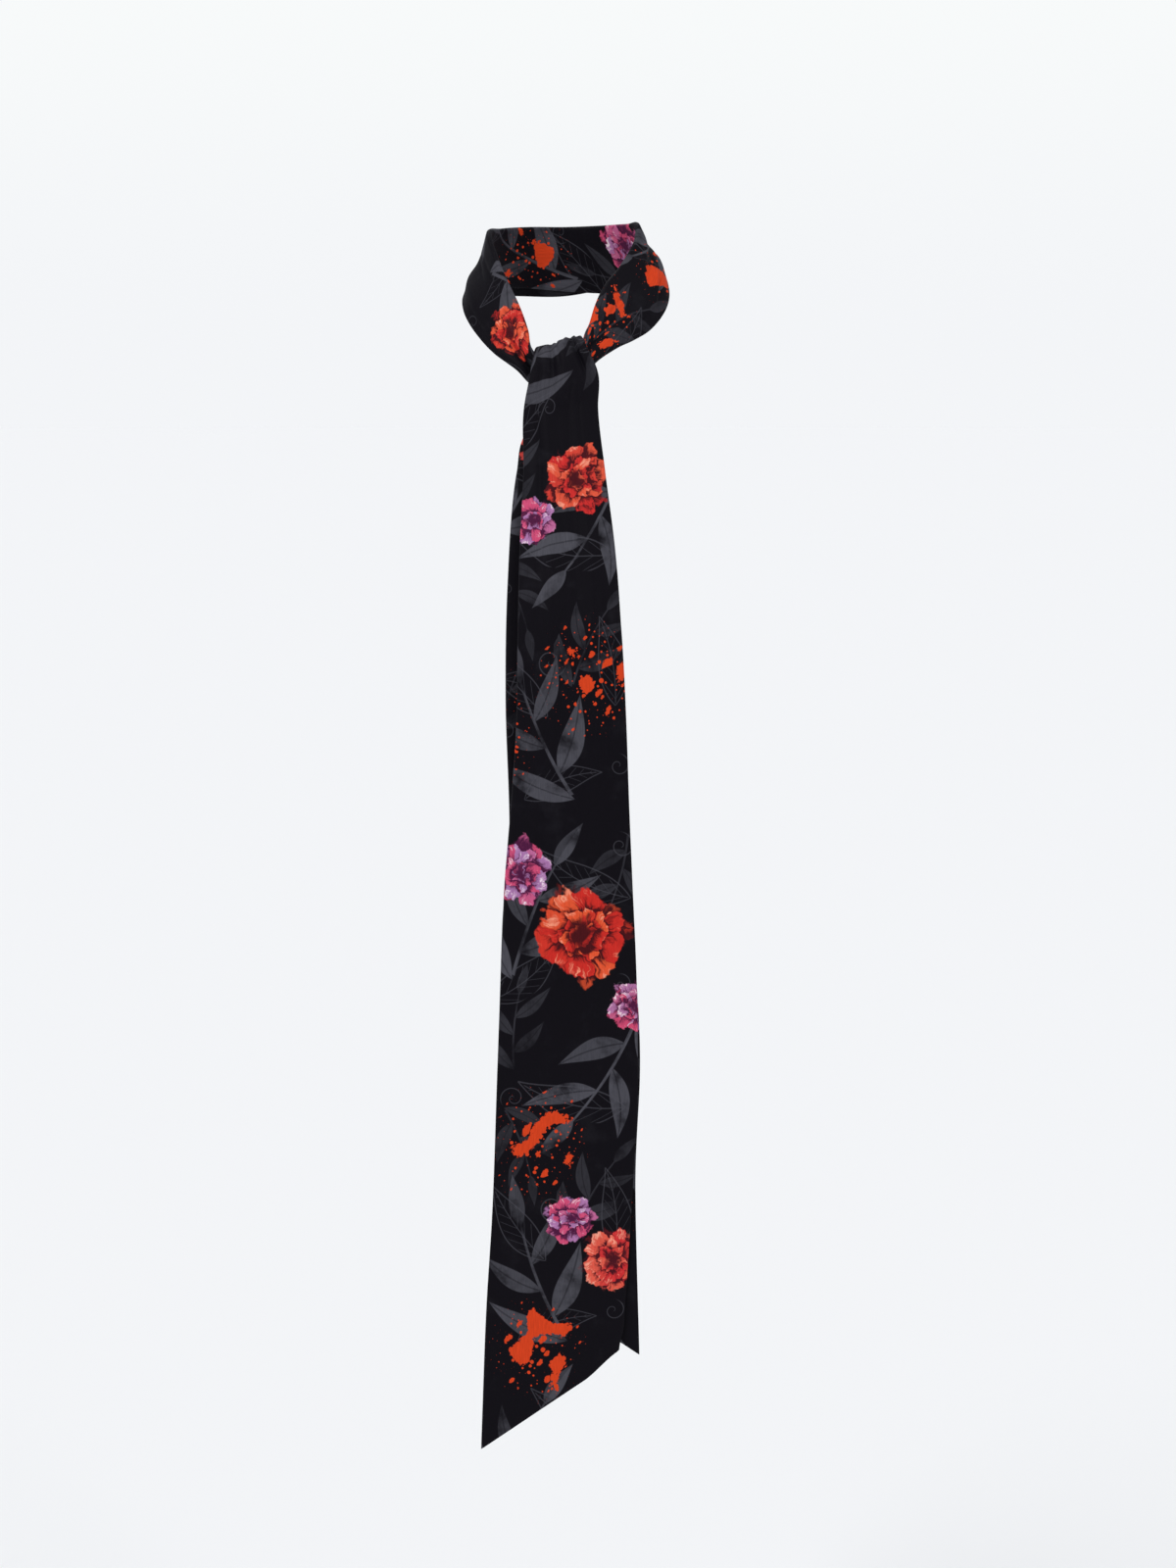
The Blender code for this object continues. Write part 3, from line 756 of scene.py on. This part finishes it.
@shader_group("Spray", ("Fill", "Tint"), local=NOWHERE, kind=0.0)
def spray(local, kind):
    """A printed spray of leaves along its own X: how much shows, and the tint of each leaf."""
    x, y, _ = parts_of(local)
    bent = y + (x * x - 1.0) * STALK_ARCH
    side = bent > 0.0
    height = abs(bent)
    # Each side has its own row of leaves, half a step apart, found by following the lean down to the stalk.
    sided = side * (LEAF_STEP / 2) + x
    step = calc("ROUND", (sided - height * (1 / math.tan(LEAF_LEAN))) / LEAF_STEP)
    foot = step * LEAF_STEP
    cosine, sine = math.cos(LEAF_LEAN), math.sin(LEAF_LEAN)
    from_foot = sided - foot
    along = from_foot * cosine + height * sine
    aside = height * cosine - from_foot * sine
    chance = add_node(x.tree, "ShaderNodeTexWhiteNoise", {"Vector": joined(step, side, kind)})[0]
    length = chance * LEAF_VARIES + (LEAF_LONG - foot * LEAF_TAPER)
    off, rib, _ = leaf(x=along, y=aside, length=length, width=length * LEAF_SLIM, bend=LEAF_BEND)
    side_fill = solid(off) * between(foot, LEAF_FIRST, LEAF_LAST)
    side_fill = side_fill * (ramp(rib, *RIB) * (1 - RIB_TINT) + RIB_TINT)
    end_off, _, _ = leaf(x=x - END_LEAF_FOOT, y=bent, **END_LEAF)
    stalk = larger(height - (STALK_HALF - x * STALK_TAPER), abs(x) - STALK_END)
    return larger(larger(side_fill, solid(end_off)), solid(stalk)), chance


# A leaf in outline. Of each fine line, how far from its middle it begins and how far it is full.
OUTLINE_LEAF = dict(length=1.9, width=0.62)
VEINS = 4.0  # along a reach
VEIN_SWEEP = 1.5
EDGE_LINE, RIB_LINE, VEIN_LINE = (0.018, 0.006), (0.014, 0.005), (0.045, 0.015)
INSIDE = (-0.03, -0.05)  # where the midrib and veins begin, inside the edge, and where they are full


@shader_group("Outline leaf", ("Mask",), local=NOWHERE, kind=0.0)
def outline_leaf(local, kind):
    """A leaf along its own X in fine lines: its edge, its midrib and its veins."""
    x, y, _ = parts_of(local)
    from_foot = x + OUTLINE_LEAF["length"] / 2
    off, rib, share = leaf(x=from_foot, y=y, bend=kind, **OUTLINE_LEAF)
    edge = ramp(abs(off), *EDGE_LINE)
    row = calc("FRACT", (from_foot - rib * VEIN_SWEEP) * VEINS)
    vein = ramp(abs(row - 0.5), *VEIN_LINE)
    inner_lines = larger(ramp(rib, *RIB_LINE), vein) * ramp(off, *INSIDE)
    return [larger(edge, inner_lines) * between(share, 0.0, 1.0)]


# A tendril: how its turns tighten, and where it fades in from its middle and out at its end.
CURL_TIGHTENS = 0.8
CURL_BEGINS, CURL_ENDS = (0.06, 0.12), (0.96, 0.90)


@shader_group("Tendril", ("Mask",), local=NOWHERE, kind=1.6)
def tendril(local, kind):
    """A fine printed line that curls in on itself."""
    x, y, _ = parts_of(local)
    out = length_of(local)
    angle = calc("ARCTAN2", y, x) / (2 * math.pi)
    phase = calc("FRACT", calc("POWER", out, CURL_TIGHTENS) * kind - angle)
    line = ramp(abs(phase - 0.5) / kind, *VEIN_LINE)
    return [line * ramp(out, *CURL_BEGINS) * ramp(out, *CURL_ENDS)]


# A flower, in shares of its reach: rings of petals round its middle, each shaded from base to tip.
PETALS_ROUND = 2.0  # the radius of the rings, in petals
PETAL_RINGS = 2.0  # how closely the rings follow each other
FLOWER_MIDDLE = 0.14  # half the width of its middle
FLOWER_SEED = (13.0, 7.0, 29.0)  # sets flowers of each kind apart
STIR, STIR_SCALE = 0.55, 2.3  # how far the petals are pushed about, and how often across a reach
UNEVEN = 0.9  # 0 for petals in even rows
STREAKS = (6.5, 6.5, 1.3)  # of a petal, round and outwards
PETAL_BASE, PETAL_TIP = -0.60, 0.55  # from a petal's own middle
BASE_SHADE, TIP_SHADE = 0.10, 0.72  # of the base, and how much lighter the tip is
GAP, GAP_SHADE = (0.42, 0.80), 0.30  # from a petal's middle to the gap beside it, and its depth
STREAK_SHADE, CHANCE_SHADE = 1.35, 0.28  # how much streaks, and petals, differ
HEART = (0.0, 0.40)  # where the flower is darkest, and where it has its full shade
FLOWER_EDGE = (1.05, 0.99)  # where the flower ends and where it is full
PETAL_BITE, STREAK_BITE = 0.36, 0.16  # how much each scallops that edge


@shader_group("Flower", ("Mask", "Shade", "Chance"), local=NOWHERE, kind=0.0)
def flower(local, kind):
    """A full flower of streaked petals: its mask, its shade from base to tip, and each petal's chance."""
    seed = scaled(FLOWER_SEED, kind)
    stirred = noise(local + seed, STIR_SCALE, detail=3.0, roughness=0.6)[1]
    own = (local + scaled(stirred - (0.5, 0.5, 0.5), STIR)) * (1.0, 1.0, 0.0)
    out = length_of(own)
    ring = calc("LOGARITHM", out + FLOWER_MIDDLE, math.e) * PETAL_RINGS
    place = scaled(calc("NORMALIZE", own), PETALS_ROUND) + joined(z=ring) + seed
    from_middle, chance, middle = cells(place, UNEVEN)
    _, _, tip = parts_of(place - middle)
    streak = noise(place * STREAKS, detail=3.0, roughness=0.62)[0]
    shade = ramp(tip, PETAL_BASE, PETAL_TIP) * TIP_SHADE + BASE_SHADE - ramp(from_middle, *GAP) * GAP_SHADE
    shade = shade + (streak - 0.5) * STREAK_SHADE + (chance - 0.5) * CHANCE_SHADE
    shade = calc("MULTIPLY", shade, ramp(out, *HEART), use_clamp=True)
    edge = out + from_middle * PETAL_BITE + streak * STREAK_BITE
    return ramp(edge, *FLOWER_EDGE), shade, chance


# The layers of specks: cell in metres, the most of a cell that one fills, how rare large ones are, how
# ragged the edge is, how drawn out it is, and the turn of the cells.
SPECK_LAYERS = (
    (0.0125, 0.46, 1.8, 0.40, 0.55, 0.7),
    (0.0055, 0.42, 2.4, 0.14, 1.00, 0.3),
)
SPLASH = 0.026  # across a splash, in metres
SPLASH_EDGE = (0.845, 0.855)  # the level of paint where a splash begins and where it is full
SPLASH_MORE = 0.30  # how much more paint pools where the amount is 1
BITES, SPLASH_RAGGED = 210.0, 0.24  # in a splash's edge, a metre, and their depth
DROP_EDGE = (0.02, -0.02)  # of a cell, past a drop's edge, where it begins and where it is full
LEAST_AMOUNT = 0.05  # below it, the cloth has no specks


@shader_group("Specks", ("Mask",), place=NOWHERE, amount=1.0)
def specks(place, amount):
    """Printed splashes, drops and specks of paint, more and larger where the amount is more."""
    wobble = noise(place, BITES, detail=3.0, roughness=0.65)[0] - 0.5
    pooled = noise(place, 1 / SPLASH, detail=0.0)[0] + wobble * SPLASH_RAGGED + amount * SPLASH_MORE
    mask = ramp(pooled, *SPLASH_EDGE)
    for cell, most, rarity, ragged, drawn, turn in SPECK_LAYERS:
        grid = rotated(place, turn) * (1 / cell, drawn / cell, 0.0)
        from_middle, chance, _ = cells(grid, dimensions="2D")
        size = calc("POWER", chance, rarity) * most * amount
        mask = larger(mask, ramp(from_middle + wobble * ragged - size, *DROP_EDGE))
    return [mask * (amount > LEAST_AMOUNT)]


PATCH_EDGE = (1.0, 0.1)  # of its reach, where a patch begins and where it is full


@shader_group("Soft patch", ("Mask",), place=NOWHERE, centre=NOWHERE, reach=NOWHERE)
def soft_patch(place, centre, reach):
    """A soft oval patch: 1 in its middle, 0 outside its reach."""
    return [ramp(length_of((place - centre) / reach), *PATCH_EDGE)]


SLUBS = (900.0, 90.0, 0.0)  # changes of the threads' tint a metre, across and along


@shader_group("Plain weave", ("Height", "Tint"), place=NOWHERE, thread=0.0005)
def plain_weave(place, thread):
    """A fine plain weave: the height of its threads, and how their tint varies."""
    x, y, _ = parts_of(scaled(place, calc("DIVIDE", math.pi, thread)))
    return calc("SINE", x) * calc("SINE", y), noise(place * SLUBS, detail=1.0)[0]


# The print, in metres of cloth: across from edge A, along from the end of the fall behind, and degrees from
# straight across, where 90 points back towards that end. What repeats does so each REPEAT along the strip.
REPEAT = 0.47
ONCE = 10.0

# Sprays of leaves: across, along, degrees, reach, and a number that varies it.
SPRAYS = (
    (0.044, 0.082, 64, 0.080, 1),
    (0.078, 0.236, 236, 0.078, 2),
    (0.046, 0.392, 112, 0.082, 3),
)
SPRAYS_BEHIND = (
    (0.100, 0.062, 250, 0.052, 5),
    (0.020, 0.180, 84, 0.050, 6),
    (0.096, 0.325, 60, 0.054, 7),
    (0.020, 0.300, 290, 0.048, 8),
)
# Leaves in outline: across, along, degrees, reach, bend.
OUTLINES = (
    (0.078, 0.055, 152, 0.046, 0.16),
    (0.022, 0.140, 40, 0.042, -0.14),
    (0.064, 0.245, 168, 0.050, 0.18),
    (0.102, 0.345, 100, 0.040, -0.12),
    (0.024, 0.360, 128, 0.042, 0.10),
    (0.062, 0.450, 20, 0.038, 0.15),
)
# Tendrils: across, along, degrees, reach, turns.
TENDRILS = (
    (0.110, 0.030, 30, 0.013, 1.7),
    (0.052, 0.128, 200, 0.011, 1.6),
    (0.106, 0.150, 120, 0.010, 1.5),
    (0.052, 0.345, 260, 0.015, 1.8),
    (0.110, 0.432, 60, 0.011, 1.6),
    (0.014, 0.250, 160, 0.012, 1.7),
)
# Flowers, once each: across, along, degrees, reach, and 0 for red to 1 for pink. Those behind come second.
FLOWERS = (
    (0.074, 0.866, 10, 0.034, 0.06),
    (0.046, 1.140, 0, 0.034, 0.90),
    (0.076, 1.600, 20, 0.038, 0.08),
    (0.072, 1.985, 0, 0.052, 0.04),
    (0.106, 2.266, 40, 0.036, 0.12),
    (0.062, 0.300, 20, 0.050, 0.04),
    (0.030, 0.700, 120, 0.036, 0.92),
)
FLOWERS_BEHIND = (
    (0.088, 1.080, 200, 0.028, 0.92),
    (0.036, 1.634, 60, 0.027, 0.95),
    (0.022, 1.935, 150, 0.036, 0.97),
    (0.116, 2.048, 260, 0.028, 0.86),
    (0.068, 2.234, 90, 0.027, 0.94),
    (0.086, 0.352, 300, 0.034, 0.95),
    (0.012, 0.258, 30, 0.028, 0.98),
    (0.070, 0.742, 140, 0.028, 0.14),
)
# Patches of specks: across, along, reach across, reach along, amount.
SPECKS = (
    (0.064, 1.290, 0.056, 0.060, 1.00),
    (0.100, 1.200, 0.040, 0.045, 0.85),
    (0.084, 1.768, 0.056, 0.062, 1.00),
    (0.010, 1.822, 0.036, 0.050, 0.85),
    (0.036, 2.170, 0.052, 0.062, 0.95),
    (0.044, 2.350, 0.052, 0.055, 0.95),
    (0.050, 0.080, 0.060, 0.070, 0.90),
    (0.060, 0.520, 0.060, 0.070, 0.95),
    (0.030, 1.040, 0.045, 0.050, 0.80),
)

# How the layers of the print show.
CLOUDS = 30.0  # soft clouds of the ground, a metre
HAZE, HAZE_SHOWS = (0.54, 0.74), 0.5  # the levels of the clouds that are hazy, and how much it shows
BRUSHED = (0.28, 0.56)  # their levels where the grey wears thin, and where it is whole
LINES_SHOW = 0.6
SPRAYS_SHOW = ((SPRAYS_BEHIND, 0.38), (SPRAYS, 1.0))  # the faint ones behind first
LEAST_TINT = 0.55  # of the palest leaf, of the full colour
SPRAY_SLIMNESS = 1.15
OUTLINE_SLIMNESS = 2.2
# The levels of chance and shade in which a petal goes from one colour to the next.
TO_OTHER, TO_BODY, TO_LIGHT = (0.35, 0.75), (0.04, 0.50), (0.66, 1.0)


def stamped(place, rows, repeat, slimness=1.0):
    """The own coordinates, and the kind, of whichever motif of the table lies at each place."""
    local, kind = NOWHERE, 0.0
    for across, along, degrees, reach, own_kind in rows:
        local, kind = stamp(
            place=place, centre=(across, -along, 0.0), turn=math.radians(degrees), scale=1 / reach,
            slimness=slimness, repeat=(1.0, repeat, 1.0), kind=own_kind, before=local, kind_before=kind,
        )
    return dict(local=local, kind=kind)


def leafy_ground(place, cloth):
    """The dark ground with faint clouds, fine outline leaves and tendrils, and two depths of sprays."""
    cloud = noise(place, CLOUDS, detail=4.0, roughness=0.6)[0]
    colour = mix(ramp(cloud, *HAZE) * HAZE_SHOWS, cloth.ground, cloth.haze)
    outlines = outline_leaf(**stamped(place, OUTLINES, REPEAT, OUTLINE_SLIMNESS))[0]
    curls = tendril(**stamped(place, TENDRILS, REPEAT))[0]
    colour = mix(larger(outlines, curls) * LINES_SHOW, colour, cloth.line)
    # The grey wears thin in places, as if brushed on.
    brushed = ramp(cloud, *BRUSHED)
    for rows, strength in SPRAYS_SHOW:
        fill, tint = spray(**stamped(place, rows, REPEAT, SPRAY_SLIMNESS))
        tint = tint * ((1 - LEAST_TINT) * strength) + LEAST_TINT * strength
        colour = mix(fill * tint * brushed, colour, cloth.leaf)
    return colour


def speck_amount(place):
    """How thickly the patches of the table scatter specks at each place."""
    amount = 0.0
    for across, along, reach_across, reach_along, most in SPECKS:
        centre, reach = (across, -along, 0.0), (reach_across, reach_along, 1.0)
        amount = larger(amount, soft_patch(place=place, centre=centre, reach=reach)[0] * most)
    return amount


def petal_colours(shade, chance, deep, body, other, light):
    """The colour of a petal from its dark base through its body to its light tip."""
    body = mix(ramp(chance, *TO_OTHER), body, other)
    lower = mix(ramp(shade, *TO_BODY), deep, body)
    return mix(ramp(shade, *TO_LIGHT), lower, light)


def add_flowers(place, rows, cloth, colour):
    """The flowers of a table over a colour, and where they are."""
    chosen = stamped(place, rows, ONCE)
    mask, shade, chance = flower(**chosen)
    red = petal_colours(shade, chance, cloth.red_deep, cloth.red, cloth.orange, cloth.red_light)
    pink = petal_colours(shade, chance, cloth.pink_deep, cloth.pink, cloth.lilac, cloth.pink_light)
    return mix(mask, colour, mix(chosen["kind"], red, pink)), mask


SLUB_TINT = 0.5  # how much paler the palest threads are than the darkest
SLUB_ROUGHNESS = 0.16  # how much rougher the roughest threads are than the smoothest
INK_SMOOTHS = 0.06  # how much smoother the ink of specks and flowers makes the cloth
WRINKLES = (70.0, 26.0, 0.0)  # a metre, across and along
WRINKLE_BUMP = {"Strength": 0.35, "Distance": 0.0012}
WEAVE_BUMP = {"Strength": 0.30, "Distance": 0.00008}
SHEEN_ROUGHNESS = 0.45
SHEEN_TINT = (0.75, 0.76, 0.85, 1.0)


def printed_cloth(cloth):
    """The printed cloth of every piece: leafy ground, specks and flowers, on a fine weave."""
    if "Printed cloth" in bpy.data.materials:
        return bpy.data.materials["Printed cloth"]
    material = bpy.data.materials.new("Printed cloth")
    material.use_nodes = True
    tree = material.node_tree
    place = add_node(tree, "ShaderNodeUVMap", uv_map=MAP_CLOTH)[0]

    colour = leafy_ground(place, cloth)
    dots = specks(place=place, amount=speck_amount(place))[0]
    colour = mix(dots, colour, cloth.speck)
    colour, behind = add_flowers(place, FLOWERS_BEHIND, cloth, colour)
    colour, front = add_flowers(place, FLOWERS, cloth, colour)

    weave, slub = plain_weave(place=place, thread=cloth.thread)
    colour = mix(1.0, colour, slub * SLUB_TINT + (1 - SLUB_TINT / 2), blend_type="MULTIPLY")
    rough = slub * SLUB_ROUGHNESS + (cloth.roughness - SLUB_ROUGHNESS / 2)
    rough = rough - larger(dots, larger(behind, front)) * INK_SMOOTHS
    wrinkles = noise(place * WRINKLES)[0]
    soft = add_node(tree, "ShaderNodeBump", {"Height": wrinkles, **WRINKLE_BUMP})[0]
    fine = add_node(tree, "ShaderNodeBump", {"Height": weave, "Normal": soft, **WEAVE_BUMP})[0]
    inputs = {
        "Base Color": colour, "Roughness": rough, "Normal": fine, "Specular IOR Level": cloth.shine,
        "Sheen Weight": cloth.sheen, "Sheen Roughness": SHEEN_ROUGHNESS, "Sheen Tint": SHEEN_TINT,
    }
    for name, value in inputs.items():
        connect(value, tree.nodes["Principled BSDF"].inputs[name])
    return material


# ---------------------------------------------------------------------------------------------------------
# Settings, operators and panel
# ---------------------------------------------------------------------------------------------------------


def length_setting(name, description, default, **limits):
    return bpy.props.FloatProperty(
        name=name, description=description, default=default, unit="LENGTH", **limits
    )


def share_setting(name, description, default, most=1):
    return bpy.props.FloatProperty(
        name=name, description=description, default=default, min=0, max=most, subtype="FACTOR"
    )


def colour_setting(name, description, default):
    return bpy.props.FloatVectorProperty(
        name=name, description=description, default=(*default, 1.0), size=4, min=0, max=1, subtype="COLOR"
    )


class StoleCloth(bpy.types.PropertyGroup):
    """The stole's cloth and print."""

    wall: length_setting("Wall", "Thickness of the two layers together", 0.0010, min=0.0004)
    seam_rise: length_setting("Seam rise", "Extra thickness over the seam allowance", 0.00025, min=0)
    allowance: length_setting("Seam allowance", "Width of the turned-in seam", 0.007, min=0.001)
    ripple: share_setting("Ripple", "How much the falls wave", 1.0, most=2)
    thread: length_setting("Thread", "Distance between threads of the weave", 0.00045, min=0.0001)
    roughness: share_setting("Roughness", "Roughness of the cloth", 0.60)
    sheen: share_setting("Sheen", "Soft light that the cloth's fibres catch", 0.03)
    shine: share_setting("Shine", "Specular level of the cloth", 0.07)
    ground: colour_setting("Ground", "Colour between the motifs", (0.0028, 0.0020, 0.0042))
    haze: colour_setting("Haze", "Faint clouds on the ground", (0.0105, 0.0098, 0.0135))
    leaf: colour_setting("Leaves", "Colour of the leaves", (0.066, 0.065, 0.079))
    line: colour_setting("Lines", "Colour of the outlines and tendrils", (0.052, 0.051, 0.062))
    speck: colour_setting("Specks", "Colour of the specks", (0.60, 0.047, 0.010))
    red_deep: colour_setting("Deep red", "Base of the red petals", (0.060, 0.004, 0.005))
    red: colour_setting("Red", "Body of the red petals", (0.55, 0.021, 0.010))
    orange: colour_setting("Orange", "Body of some of the red petals", (0.72, 0.080, 0.014))
    red_light: colour_setting("Light red", "Tips of the red petals", (0.86, 0.28, 0.16))
    pink_deep: colour_setting("Deep pink", "Base of the pink petals", (0.070, 0.008, 0.045))
    pink: colour_setting("Pink", "Body of the pink petals", (0.58, 0.07, 0.17))
    lilac: colour_setting("Lilac", "Body of some of the pink petals", (0.36, 0.17, 0.38))
    pink_light: colour_setting("Light pink", "Tips of the pink petals", (0.84, 0.70, 0.79))


class StoleStage(bpy.types.PropertyGroup):
    """The floor, the lights and the surround."""

    floor_height: length_setting("Floor height", "Height of the floor the wearer stands on", -1.42)
    floor_size: length_setting("Floor size", "Radius of the floor", 60.0, min=2)
    floor_colour: colour_setting("Floor", "Colour of the floor", (0.85, 0.855, 0.86))
    backdrop: colour_setting("Backdrop", "Colour seen behind the stole", (0.94, 0.96, 0.96))
    sky: colour_setting("Surround", "Colour of the light from all round", (0.36, 0.37, 0.39))
    suns: bpy.props.FloatProperty(
        name="Soft lights", description="Strength of the broad lights", default=1.0, min=0, max=10
    )


class STOLE_OT_back_fall(bpy.types.Operator):
    """Makes the fall behind"""

    bl_idname = "stole.back_fall"
    bl_label = "Back fall"

    def execute(self, context):
        add_cloth("back_fall")
        return {"FINISHED"}


class STOLE_OT_neck_band(bpy.types.Operator):
    """Makes the band round the neck"""

    bl_idname = "stole.neck_band"
    bl_label = "Neck band"

    def execute(self, context):
        add_cloth("neck_band")
        return {"FINISHED"}


class STOLE_OT_knot_wrap(bpy.types.Operator):
    """Makes the turn round the other strand, inside the knot"""

    bl_idname = "stole.knot_wrap"
    bl_label = "Knot wrap"

    def execute(self, context):
        add_cloth("knot_wrap")
        return {"FINISHED"}


class STOLE_OT_front_fall(bpy.types.Operator):
    """Makes the turn over the knot and the front fall"""

    bl_idname = "stole.front_fall"
    bl_label = "Front fall"

    def execute(self, context):
        add_cloth("front_fall")
        return {"FINISHED"}


class STOLE_OT_stage(bpy.types.Operator):
    """Makes the floor, the lights and the camera"""

    bl_idname = "stole.stage"
    bl_label = "Stage"

    def execute(self, context):
        stage = context.scene.stole_stage
        add_floor(context.scene, stage)
        add_lights(context.scene, stage)
        add_camera(context.scene)
        return {"FINISHED"}


FLOOR_SIDES = 96
FLOOR_ROUGHNESS = 0.9
# Broad, soft lights: degrees to the viewer's left, degrees up, spread in degrees, and strength.
SOFT_LIGHTS = (
    ("Key", 42.0, 50.0, 28.0, 1.65),
    ("Fill", -50.0, 38.0, 36.0, 0.80),
    ("Back", 170.0, 46.0, 36.0, 0.60),
)
HORIZON_FADE = 0.12  # sine of the height at which the surround has its own colour
CAMERA_PLACE = (0.0214, -3.184, -0.0783)
CAMERA_DOWN = 7.0  # degrees below level
CAMERA_LENS, CAMERA_SENSOR = 81.0, 36.0  # millimetres: its focal length, and the sensor's width


def add_floor(scene, stage):
    """A wide, round, pale floor."""
    turns = [2 * math.pi * side / FLOOR_SIDES for side in range(FLOOR_SIDES)]
    size, height = stage.floor_size, stage.floor_height
    mesh = bpy.data.meshes.new("floor")
    ring = [(size * math.cos(turn), size * math.sin(turn), height) for turn in turns]
    mesh.from_pydata(ring, [], [list(range(FLOOR_SIDES))])
    material = bpy.data.materials.new("Floor")
    material.use_nodes = True
    inputs = {"Base Color": stage.floor_colour, "Roughness": FLOOR_ROUGHNESS, "Specular IOR Level": 0.0}
    for name, value in inputs.items():
        connect(value, material.node_tree.nodes["Principled BSDF"].inputs[name])
    mesh.materials.append(material)
    floor = bpy.data.objects.new("floor", mesh)
    scene.collection.objects.link(floor)


def add_lights(scene, stage):
    """Soft lights from three sides, and a pale backdrop that meets the floor in the floor's own tone."""
    on_floor = 0.0
    for name, left, up, spread, strength in SOFT_LIGHTS:
        light = bpy.data.lights.new(name, "SUN")
        light.energy = strength * stage.suns
        light.angle = math.radians(spread)
        lamp = bpy.data.objects.new(name, light)
        lamp.rotation_euler = (math.radians(90 - up), 0, math.radians(-left))
        scene.collection.objects.link(lamp)
        on_floor += light.energy * math.sin(math.radians(up)) / math.pi
    low = [floor * (sky + on_floor) for floor, sky in zip(stage.floor_colour, stage.sky)]
    world = bpy.data.worlds.new("Surround")
    world.use_nodes = True
    tree = world.node_tree
    way = add_node(tree, "ShaderNodeTexCoord")[0]
    seen = mix(ramp(parts_of(way)[2], 0.0, HORIZON_FADE), low, stage.backdrop)
    is_seen = add_node(tree, "ShaderNodeLightPath")[0]
    connect(mix(is_seen, stage.sky, seen), tree.nodes["Background"].inputs["Color"])
    scene.world = world
    scene.view_settings.view_transform = "Standard"


def add_camera(scene):
    data = bpy.data.cameras.new("Camera")
    data.lens = CAMERA_LENS
    data.sensor_width = CAMERA_SENSOR
    camera = bpy.data.objects.new("Camera", data)
    camera.location = CAMERA_PLACE
    camera.rotation_euler = (math.radians(90 - CAMERA_DOWN), 0, 0)
    scene.collection.objects.link(camera)
    scene.camera = camera


class VIEW3D_PT_stole(bpy.types.Panel):
    """Lists the stole's pieces and settings"""

    bl_label = "Stole"
    bl_idname = "VIEW3D_PT_stole"
    bl_space_type = "VIEW_3D"
    bl_region_type = "UI"
    bl_category = "Stole"

    def draw(self, context):
        for settings in (context.scene.stole_cloth, context.scene.stole_stage):
            box = self.layout.box()
            for name in settings.__annotations__:
                box.prop(settings, name)
        for operator in OPERATORS:
            self.layout.operator(operator.bl_idname)


OPERATORS = (STOLE_OT_back_fall, STOLE_OT_neck_band, STOLE_OT_knot_wrap, STOLE_OT_front_fall, STOLE_OT_stage)
CLASSES = (StoleCloth, StoleStage, *OPERATORS, VIEW3D_PT_stole)


def register():
    for made in CLASSES:
        bpy.utils.register_class(made)
    bpy.types.Scene.stole_cloth = bpy.props.PointerProperty(type=StoleCloth)
    bpy.types.Scene.stole_stage = bpy.props.PointerProperty(type=StoleStage)


def unregister():
    del bpy.types.Scene.stole_stage
    del bpy.types.Scene.stole_cloth
    for made in reversed(CLASSES):
        bpy.utils.unregister_class(made)


def main():
    register()
    bpy.ops.stole.back_fall()
    bpy.ops.stole.neck_band()
    bpy.ops.stole.knot_wrap()
    bpy.ops.stole.front_fall()
    bpy.ops.stole.stage()


if __name__ == "__main__":
    main()
